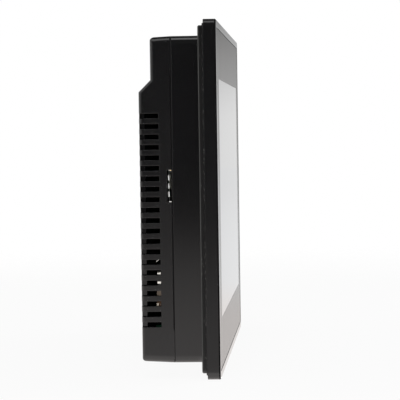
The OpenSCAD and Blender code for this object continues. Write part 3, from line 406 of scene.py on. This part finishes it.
# metals: colour, roughness, and the way that the rolling or drawing marks run
def metal(name, colour, rough, marks=None):
    f = Finish(name)
    look = metalLook
    lines = f.patches(look["line"], 3, marks)
    smudge = f.patches(look["smudge"], 2)
    low, high = (rough + swing for swing in look["swing"])
    both = lines * look["lineShare"] + smudge * (1 - look["lineShare"])
    return f.set(Base_Color=f.mix((smudge + lines) * 0.5, *tones(colour, look["spread"])), Metallic=1,
                 Roughness=f.ramp(both, low, high), Normal=f.bump(lines, look["depth"]))


# marks drawn out along an axis
along = {"x": (0.04, 1, 1), "y": (1, 0.04, 1), "z": (1, 1, 0.04)}

socketLook = {"mouth": (0.88, 0.87, 0.84), "mouthSpread": 0.06, "depth": 0.6 * mm, "brim": 0.20 * mm,
              "innerShade": (0.16, 0.16, 0.155), "innerSpread": 0.1, "dull": 0.9, "touch": (0.85, 0.52, 0.16),
              "endGoldPatch": (0.7, 1), "end": 1.6 * mm, "endLow": 0.75 * mm, "paintedSheen": 1.6 * mm,
              "line": 0.5 * mm, "rough": (0.28, 0.42), "height": 0.004 * mm}


# card socket's shell: the lips at its mouth are painted near white and barely metallic, a painted highlight,
# gold-tinted at the upper end; the plate further in is painted dark, a painted shade
def socketPlate(name):
    f = Finish(name)
    look = socketLook
    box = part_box("card_socket_shell")
    x, y, z = f.axes()
    mouth = (x < box[0].x + look["depth"]) * (y < box[1].y - look["brim"])
    lines = f.patches(look["line"], 3, along["x"])
    paintedSheen = f.ramp(f.patches(look["paintedSheen"], 2), *look["endGoldPatch"])
    end = (z > box[1].z - look["end"]) * (y < box[1].y - look["endLow"]) * paintedSheen
    # painted highlight on the lips at the mouth, gold-tinted at the upper end
    lip = f.mix(end, f.mix(lines, *tones(look["mouth"], look["mouthSpread"])), look["touch"])
    # painted shade on the plate further in
    innerShade = f.mix(lines, *tones(look["innerShade"], look["innerSpread"]))
    return f.set(Base_Color=f.mix(mouth, innerShade, lip), Metallic=1 - mouth * look["dull"],
                 Roughness=f.ramp(lines, *look["rough"]), Normal=f.bump(lines, look["height"]))


canLook = {"can": (0.80, 0.72, 0.60), "canSpread": 0.06, "sleeve": (0.045, 0.024, 0.013), "sleeveSpread": 0.15,
           "bare": 0.7 * mm, "edgePart": -70 * mm, "paintedSheen": 0.5 * mm, "line": 0.4 * mm, "stretch": (1, 0.1, 1),
           "metal": 0.55, "rough": (0.28, 0.4), "height": 0.01 * mm}


# capacitor cans: a bare metal end over a brown sleeve; on the small can by the edge only a band across the middle
# of its end is metal, a painted highlight
def canFinish(name):
    f = Finish(name)
    look = canLook
    points = [v.co for v in nodes["capacitors"].data.vertices]
    atSide = [p for p in points if p.x < look["edgePart"]]
    small = max(p.y for p in atSide) - look["bare"]
    large = max(p.y for p in points if p.x > look["edgePart"]) - look["bare"]
    heights = [p.z for p in atSide]
    middle = (min(heights) + max(heights)) / 2
    x, y, z = f.axes()
    atEdge = x < look["edgePart"]
    # painted highlight: a band of bare metal across the middle of the small can's end
    paintedSheen = (y > small) * (abs(z - middle) < look["paintedSheen"])
    bare = paintedSheen * atEdge + (y > large) * (1 - atEdge)
    lines = f.patches(look["line"], 2, look["stretch"])
    sleeve = f.mix(lines, *tones(look["sleeve"], look["sleeveSpread"]))
    can = f.mix(lines, *tones(look["can"], look["canSpread"]))
    return f.set(Base_Color=f.mix(bare, sleeve, can), Metallic=bare * look["metal"],
                 Roughness=f.ramp(lines, *look["rough"]), Normal=f.bump(lines + bare, look["height"]))


boardLook = {"mask": (0.012, 0.075, 0.032), "track": (0.020, 0.120, 0.050), "pad": (0.62, 0.60, 0.52),
             "trackPitch": 1.1 * mm, "trackWide": (0.36, 0.64), "run": 13 * mm, "trackShare": 0.42,
             "padPitch": 2.2 * mm, "padShare": 0.13, "padSize": 0.24, "padSeed": 2, "padMetal": 0.9,
             "cut": (0.006, 0.005, 0.004), "cutEdge": 0.06 * mm, "trackRough": 0.3, "rough": (0.28, 0.4),
             "height": 0.03 * mm}


# green solder mask over straight copper tracks, with tinned pads, and the cut edges painted near black as painted
# shade
def boardLaminate(name):
    f = Finish(name)
    look = boardLook
    x, _, z = f.axes()
    runs = []
    for seed, (onward, over) in enumerate(((x, z), (z, x))):
        lane, place = f.steps(over, look["trackPitch"])
        run, _ = f.steps(onward + lane * look["trackPitch"], look["run"])
        runs.append(f.between(place, *look["trackWide"]) * (f.chance(lane, run, seed) < look["trackShare"]))
    track = runs[0].either(runs[1])
    column, fromLeft = f.steps(x, look["padPitch"])
    row, fromBelow = f.steps(z, look["padPitch"])
    near = (abs(fromLeft - 0.5) < look["padSize"]) * (abs(fromBelow - 0.5) < look["padSize"])
    pad = near * (f.chance(column, row, look["padSeed"]) < look["padShare"])
    # painted shade: the board's cut edges near black
    cut = abs(x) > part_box("main_board")[1].x - look["cutEdge"]
    mask = f.mix(track, look["mask"], look["track"])
    return f.set(Base_Color=f.mix(cut, f.mix(pad, mask, look["pad"]), look["cut"]),
                 Metallic=pad * look["padMetal"],
                 Roughness=f.ramp(pad + track * look["trackRough"], *look["rough"]),
                 Normal=f.bump(track + pad, look["height"]))


flexLook = {"colour": (0.30, 0.115, 0.018), "line": (0.42, 0.20, 0.05), "pitch": 1.0 * mm, "lineShare": 0.5,
            "patch": 5 * mm, "rough": (0.22, 0.34), "height": 0.02 * mm}


# amber film with copper lines along it
def flexFilm(name):
    f = Finish(name)
    look = flexLook
    x, _, _ = f.axes()
    _, across = f.steps(x, look["pitch"])
    line = across > look["lineShare"]
    patch = f.patches(look["patch"])
    return f.set(Base_Color=f.mix(line, look["colour"], look["line"]),
                 Roughness=f.ramp(patch, *look["rough"]), Normal=f.bump(line, look["height"]))


finishes = {
    "housing_plastic": (housingPlastic,),
    "overlay_film": (overlayFilm,),
    "touch_film": (windowFilm,),
    "touch_glass": (clearGlass,),
    "flex_film": (flexFilm,),
    "gasket_rubber": (gasketRubber,),
    "board_laminate": (boardLaminate,),
    "foam": (moulding, (0.030, 0.030, 0.030), 0.85, 0.5 * mm, 0.05 * mm),
    "display_glass": (moulding, (0.060, 0.065, 0.070), 0.12, 2 * mm, 0.001 * mm),
    "backlight": (moulding, (0.80, 0.80, 0.78), 0.4),
    "chip_plastic": (moulding, (0.022, 0.022, 0.024), 0.55, 0.15 * mm),
    "inductor_ferrite": (moulding, (0.075, 0.075, 0.080), 0.5, 0.4 * mm, 0.03 * mm),
    "buzzer_plastic": (moulding, (0.022, 0.022, 0.023), 0.4),
    "holder_plastic": (moulding, (0.036, 0.036, 0.038), 0.5),
    "white_plastic": (moulding, (0.88, 0.84, 0.77), 0.42, 0.3 * mm, 0.01 * mm, headerSide),
    "capacitor_tan": (moulding, (0.105, 0.082, 0.062), 0.42, 0.6 * mm, 0.03 * mm),
    "cream_plastic": (moulding, (0.74, 0.69, 0.58), 0.45),
    "header_green": (moulding, (0.004, 0.030, 0.013), 0.45),
    "jack_plastic": (moulding, (0.020, 0.020, 0.021), 0.45),
    "usb_plastic": (moulding, (0.030, 0.080, 0.260), 0.4),
    "socket_plastic": (moulding, (0.006, 0.006, 0.0065), 0.6),
    "carriage_plastic": (moulding, (0.68, 0.66, 0.60), 0.45),
    "switch_red": (moulding, (0.330, 0.022, 0.016), 0.42),
    "slider_white": (moulding, (0.84, 0.83, 0.80), 0.4),
    "reset_plastic": (moulding, (0.036, 0.036, 0.038), 0.45),
    "button_plastic": (moulding, (0.68, 0.66, 0.60), 0.42),
    "sheet_steel": (metal, (0.60, 0.61, 0.62), 0.32, along["x"]),
    "zinc_plate": (metal, (0.56, 0.58, 0.59), 0.38, along["x"]),
    "zinc_screw": (metal, (0.64, 0.65, 0.64), 0.3),
    "black_screw": (metal, (0.060, 0.060, 0.062), 0.42),
    "brass_standoff": (metal, (0.70, 0.54, 0.24), 0.28, along["y"]),
    "heat_sink_aluminium": (metal, (0.030, 0.030, 0.033), 0.42, along["z"]),
    "capacitor_can": (canFinish,),
    "cell_steel": (metal, (0.70, 0.71, 0.71), 0.24),
    "tin_pins": (metal, (0.72, 0.71, 0.66), 0.28, along["z"]),
    "port_steel": (metal, (0.66, 0.67, 0.68), 0.26, along["z"]),
    "gold_contacts": (metal, (0.83, 0.60, 0.20), 0.22, along["z"]),
    "socket_steel": (socketPlate,),
    "spring_steel": (metal, (0.62, 0.62, 0.62), 0.26),
}

made = {slot: finish[0](slot, *finish[1:]) for slot, finish in finishes.items()}
for part in frame["record"]["subparts"]:
    piece = nodes[part["node"]]
    piece.data.materials.clear()
    piece.data.materials.append(made[part["material_slot"]])


pieceLook = {"smooth": 35, "sameWay": 0.99, "merge": 0.001 * mm, "rounds": 2}


# a finished piece: its place in its mesh, its finish, and the body that carries it
def keepPiece(name, slot):
    piece = bpy.context.object
    bpy.ops.object.transform_apply(location=True, rotation=True, scale=True)
    bpy.ops.object.shade_smooth_by_angle(angle=math.radians(pieceLook["smooth"]))
    piece.name = name
    piece.data.name = name
    piece.data.materials.clear()
    piece.data.materials.append(made[slot])
    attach(piece, "housing")
    piece.select_set(False)
    return piece


def pushOut(x, y, z):
    bpy.ops.mesh.extrude_region_move(TRANSFORM_OT_translate={"value": (x, y, z)})


def roundEdges(width):
    bpy.ops.mesh.bevel(offset=width, segments=pieceLook["rounds"], affect="EDGES")


# a block of that size about that place, open for edits
def startBlock(place, size):
    bpy.ops.mesh.primitive_cube_add(size=1, location=place, scale=size)
    bpy.ops.object.transform_apply(location=True, rotation=True, scale=True)
    bpy.ops.object.mode_set(mode="EDIT")


# only the faces that look that way
def pickFaces(way):
    bpy.ops.mesh.select_mode(type="FACE")
    bpy.ops.mesh.select_all(action="DESELECT")
    bpy.ops.object.mode_set(mode="OBJECT")
    for face in bpy.context.object.data.polygons:
        face.select = face.normal.dot(Vector(way)) > pieceLook["sameWay"]
    bpy.ops.object.mode_set(mode="EDIT")


# the end of an edit: doubles merged, faces outwards
def closeMesh():
    bpy.ops.mesh.select_all(action="SELECT")
    bpy.ops.mesh.remove_doubles(threshold=pieceLook["merge"])
    bpy.ops.mesh.normals_make_consistent(inside=False)
    bpy.ops.object.mode_set(mode="OBJECT")


leadLook = {"x": -84.6 * mm, "wire": 0.20 * mm, "sides": 10, "end": (17.93 * mm, -24.22 * mm), "lean": 140.8,
            "run": 7.35 * mm, "bend": 1.0 * mm, "sunk": 0.1 * mm, "steps": 6,
            "solder": (0.7 * mm, 0.22 * mm, 0.6 * mm), "solderSides": 16, "round": 0.08 * mm}


# a long lead that leans out from the board, seen through the vents
def addLead(look):
    x, bend = look["x"], look["bend"]
    y, z = look["end"]
    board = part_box("main_board")[1].y
    lean = math.radians(look["lean"])
    bpy.ops.mesh.primitive_circle_add(vertices=look["sides"], radius=look["wire"] / 2, fill_type="NGON",
                                      location=(x, y, z), rotation=(lean - math.pi / 2, 0, 0))
    bpy.ops.object.transform_apply(location=True, rotation=True)
    bpy.ops.object.mode_set(mode="EDIT")
    bpy.ops.mesh.select_all(action="SELECT")
    pushOut(0, look["run"] * math.cos(lean), look["run"] * math.sin(lean))
    y, z = y + look["run"] * math.cos(lean), z + look["run"] * math.sin(lean)
    middle = (x, y - bend * math.sin(lean), z + bend * math.cos(lean))
    bpy.ops.mesh.spin(steps=look["steps"], angle=math.pi - lean, center=middle, axis=(-1, 0, 0))
    pushOut(0, board - look["sunk"] - middle[1], 0)
    closeMesh()
    keepPiece("board_lead", "white_plastic")
    wide, thin, high = look["solder"]
    foot = (x, board + high / 2, middle[2] + bend)
    bpy.ops.mesh.primitive_cone_add(vertices=look["solderSides"], radius1=wide, radius2=thin, depth=high,
                                    location=foot, rotation=(-math.pi / 2, 0, 0))
    bpy.ops.object.mode_set(mode="EDIT")
    bpy.ops.mesh.select_all(action="SELECT")
    roundEdges(look["round"])
    closeMesh()
    keepPiece("lead_solder", "tin_pins")


addLead(leadLook)

lightLook = {"size": (1.2 * mm, 2.4 * mm, 0.5 * mm), "side": 6.78 * mm, "drop": 1.5 * mm, "proud": 0.12 * mm,
             "rim": 0.22 * mm, "round": 0.06 * mm}


# the network jack's two light windows, milky and domed
def addJackLights(look):
    low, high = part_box("network_jack")
    middle = (low.x + high.x) / 2
    _, tall, deep = look["size"]
    for name, side in (("jack_light_left", -1), ("jack_light_right", 1)):
        place = (middle + side * look["side"], high.y - look["drop"] - tall / 2,
                 low.z - look["proud"] + deep / 2)
        startBlock(place, look["size"])
        bpy.ops.mesh.select_all(action="SELECT")
        roundEdges(look["round"])
        pickFaces((0, 0, -1))
        bpy.ops.mesh.inset(thickness=look["rim"], depth=look["round"])
        closeMesh()
        keepPiece(name, "white_plastic")


addJackLights(lightLook)

pocketLook = {"side": 60 * mm, "level": 5.6 * mm, "mouth": 60.78 * mm, "size": (14 * mm, 5.2 * mm, 6 * mm),
              "wall": 0.8 * mm, "round": 0.4 * mm}


# a blind pocket behind each clamp slot
def addPockets(look):
    deep = look["size"][2]
    corners = [(side, end) for end in (1, -1) for side in (-1, 1)]
    for number, (side, end) in enumerate(corners):
        place = (side * look["side"], look["level"], end * (look["mouth"] - deep / 2))
        startBlock(place, look["size"])
        pickFaces((0, 0, -end))
        roundEdges(look["round"])
        pickFaces((0, 0, end))
        bpy.ops.mesh.inset(thickness=look["wall"])
        pushOut(0, 0, -end * (deep - look["wall"]))
        closeMesh()
        keepPiece(f"clamp_pocket_{number + 1}", "housing_plastic")


addPockets(pocketLook)

springLook = {"turns": 6, "steps": 12, "sides": 10, "wire": 0.12 * mm}


# the carriage's spring, coil by coil, in place of the card_spring part
def addSpring(look):
    low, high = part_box("card_spring")
    middle = (low + high) / 2
    wire = look["wire"]
    radius = (high.y - low.y - wire) / 2
    count = look["turns"] * look["steps"]
    rise = (high.x - low.x - wire) / count
    bpy.ops.mesh.primitive_circle_add(vertices=look["sides"], radius=wire / 2, fill_type="NGON",
                                      location=(low.x + wire / 2, middle.y + radius, middle.z))
    bpy.ops.object.transform_apply(location=True)
    bpy.ops.object.mode_set(mode="EDIT")
    bpy.ops.mesh.select_all(action="SELECT")
    for _ in range(count):
        bpy.ops.mesh.spin(steps=1, angle=math.tau / look["steps"], center=middle, axis=(1, 0, 0))
        bpy.ops.transform.translate(value=(rise, 0, 0))
    closeMesh()
    spring = keepPiece("carriage_spring", "spring_steel")
    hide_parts("card_spring")
    travel = next(joint["range_m"][1] for joint in frame["joints"] if joint["name"] == "card_slide")
    keep = 1 - travel / (high.x - low.x)
    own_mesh(spring)


addSpring(springLook)
print("lead, light windows, clamp pockets and spring made")


# camera: seen from the panel's left side, a little from the front
cameraLook = {"place": (-791.0, -44.24, 25.85), "yaw": 3.620, "pitch": 2.1165, "roll": -0.857, "lens": 164.73,
              "sensor": 36, "clip": (0.01, 50)}


def addCamera(look):
    yaw, pitch, roll = (math.radians(look[k]) for k in ("yaw", "pitch", "roll"))
    ahead = Vector((math.cos(yaw) * math.cos(pitch), math.sin(yaw) * math.cos(pitch), -math.sin(pitch)))
    right = ahead.cross(Vector((0, 0, 1))).normalized()
    up = right.cross(ahead)
    right, up = (math.cos(roll) * right + math.sin(roll) * up, math.cos(roll) * up - math.sin(roll) * right)
    turn = Matrix((right, up, -ahead)).transposed().to_4x4()
    data = bpy.data.cameras.new("camera")
    data.sensor_width = look["sensor"]
    data.lens = look["lens"]
    data.clip_start, data.clip_end = look["clip"]
    camera = bpy.data.objects.new("camera", data)
    camera.matrix_world = Matrix.Translation(Vector(look["place"]) * mm) @ turn
    bpy.context.scene.collection.objects.link(camera)
    bpy.context.scene.camera = camera


addCamera(cameraLook)


def lightRays(tree):
    names = ("Is Camera Ray", "Is Glossy Ray", "Is Transmission Ray")
    return [Wire.make(tree, "ShaderNodeLightPath", None, None, name) for name in names]


def smoothStep(tree, value, start, stop, low=0, high=1):
    return Wire.make(tree, "ShaderNodeMapRange", {"interpolation_type": "SMOOTHSTEP"},
                     {"Value": value, "From Min": start, "From Max": stop, "To Min": low, "To Max": high})


# pairs are a place along x and the level there; the foot is the strip of floor beside the panel
floorLook = {
    "size": 8.0, "gap": 0.05 * mm, "colour": (0.82, 0.82, 0.82), "spread": 0.01, "patch": 0.4, "rough": 0.9,
    "white": 0.93, "fade": (0.30, 0.75), "near": (-1.40, 0.06), "close": (-0.05, 1.0), "far": (2.5, 0.92),
    "foot": (-0.125, -0.098, -0.085), "footSplit": (-1 * mm, 3 * mm), "footLevel": (1.0, 0.3),
    "tints": ((1.0, 0.952, 0.930), (0.988, 0.992, 1.0)), "tintSplit": (0.12, 0.42),
}


# pale floor, white to the camera but for the shadow; gloss sees it lit as in the photo; far off it fades out
def addFloor(look):
    bpy.ops.mesh.primitive_plane_add(size=look["size"], location=(0, 0, cadBox[0].z - look["gap"]))
    bpy.ops.object.transform_apply(location=True)
    floor = bpy.context.object
    floor.name = "floor"
    f = Finish("pale_floor")
    tree = f.tree
    f.set(Base_Color=f.mix(f.patches(look["patch"], 2), *tones(look["colour"], look["spread"])),
          Roughness=look["rough"], Specular_IOR_Level=0.0)
    camera, glossy, clear = lightRays(tree)
    x, y, _ = f.axes()
    (nearX, nearLevel), (closeX, closeLevel), (farX, farLevel) = (look[k] for k in ("near", "close", "far"))
    nearSide = f.ramp(x, nearLevel, closeLevel, nearX, closeX)
    farSide = smoothStep(tree, x, closeX, farX, 1, farLevel / closeLevel)
    start, stop, end = look["foot"]
    foot = smoothStep(tree, x, start, stop) * (x < end)
    foot = foot * smoothStep(tree, y, *look["footSplit"], *look["footLevel"])
    tint = f.mix(smoothStep(tree, x, *look["tintSplit"]), *look["tints"])
    tint = f.mix(glossy, (1, 1, 1), tint)
    strength = (nearSide * farSide + foot) * glossy + (1 - glossy)
    glow = f.add("ShaderNodeEmission", None, {"Color": tint, "Strength": strength})
    both = f.join((camera + clear) * look["white"] + glossy, f.base, glow)
    away = f.add("ShaderNodeVectorMath", {"operation": "LENGTH"}, {0: f.place}, "Value")
    gone = f.add("ShaderNodeBsdfTransparent")
    f.show(f.join(smoothStep(tree, away, *look["fade"]) * camera, both, gone))
    floor.data.materials.append(f.material)


addFloor(floorLook)

studioLook = {"fill": 0.4, "near": 0.022, "far": 0.92, "above": 0.085, "side": (-0.55, 0.10),
              "band": (0.105, 0.0), "rear": 0.9, "lift": 1.1, "front": (-0.34, -0.05), "frontLevel": 0.30}


# even fill light; what gloss shows is a white sheet behind, dark above and on the camera's side
def addStudio(look):
    world = bpy.data.worlds.new("studio")
    bpy.context.scene.world = world
    world.use_nodes = True
    tree = world.node_tree
    direction = Wire.make(tree, "ShaderNodeTexCoord", None, None, "Generated")
    x, y, z = (Wire.make(tree, "ShaderNodeSeparateXYZ", None, {"Vector": direction}, axis)
               for axis in "XYZ")
    rearward = y.either(0)
    behind = smoothStep(tree, x + rearward * look["rear"], *look["side"])
    behind = behind * smoothStep(tree, y, *look["front"], look["frontLevel"], 1)
    band = smoothStep(tree, z - rearward * look["lift"], *look["band"])
    wall = look["near"] + behind * (look["far"] - look["near"])
    seen = look["above"] + band * (wall - look["above"])
    camera, glossy, clear = lightRays(tree)
    white = camera + clear
    level = white + glossy * seen + (1 - white - glossy) * look["fill"]
    tree.links.new(level.socket, tree.nodes["Background"].inputs["Strength"])
    tree.nodes["Background"].inputs["Color"].default_value = (1, 1, 1, 1)


addStudio(studioLook)

lampLook = {
    "top_softbox": {"place": (-0.30, -0.05, 1.05), "aim": (0, 0, 0), "size": 0.5, "power": 1.6},
    "side_fill": {"place": (-1.3, 0.15, 0.02), "aim": (0, 0, 0), "size": 0.3, "power": 16.0, "gloss": False},
    "front_softbox": {"place": (0.55, -1.2, 0.55), "aim": (0, 0, 0), "size": 0.9, "power": 5.0},
}


def addLamp(name, look):
    data = bpy.data.lights.new(name, "AREA")
    data.size = look["size"]
    data.energy = look["power"]
    lamp = bpy.data.objects.new(name, data)
    lamp.visible_glossy = look.get("gloss", True)
    away = Vector(look["place"]) - Vector(look["aim"])
    lamp.matrix_world = Matrix.Translation(look["place"]) @ away.to_track_quat("Z", "Y").to_matrix().to_4x4()
    bpy.context.scene.collection.objects.link(lamp)


for name, look in lampLook.items():
    addLamp(name, look)
print("camera, floor and light set")

bpy.context.scene.view_settings.view_transform = "Standard"
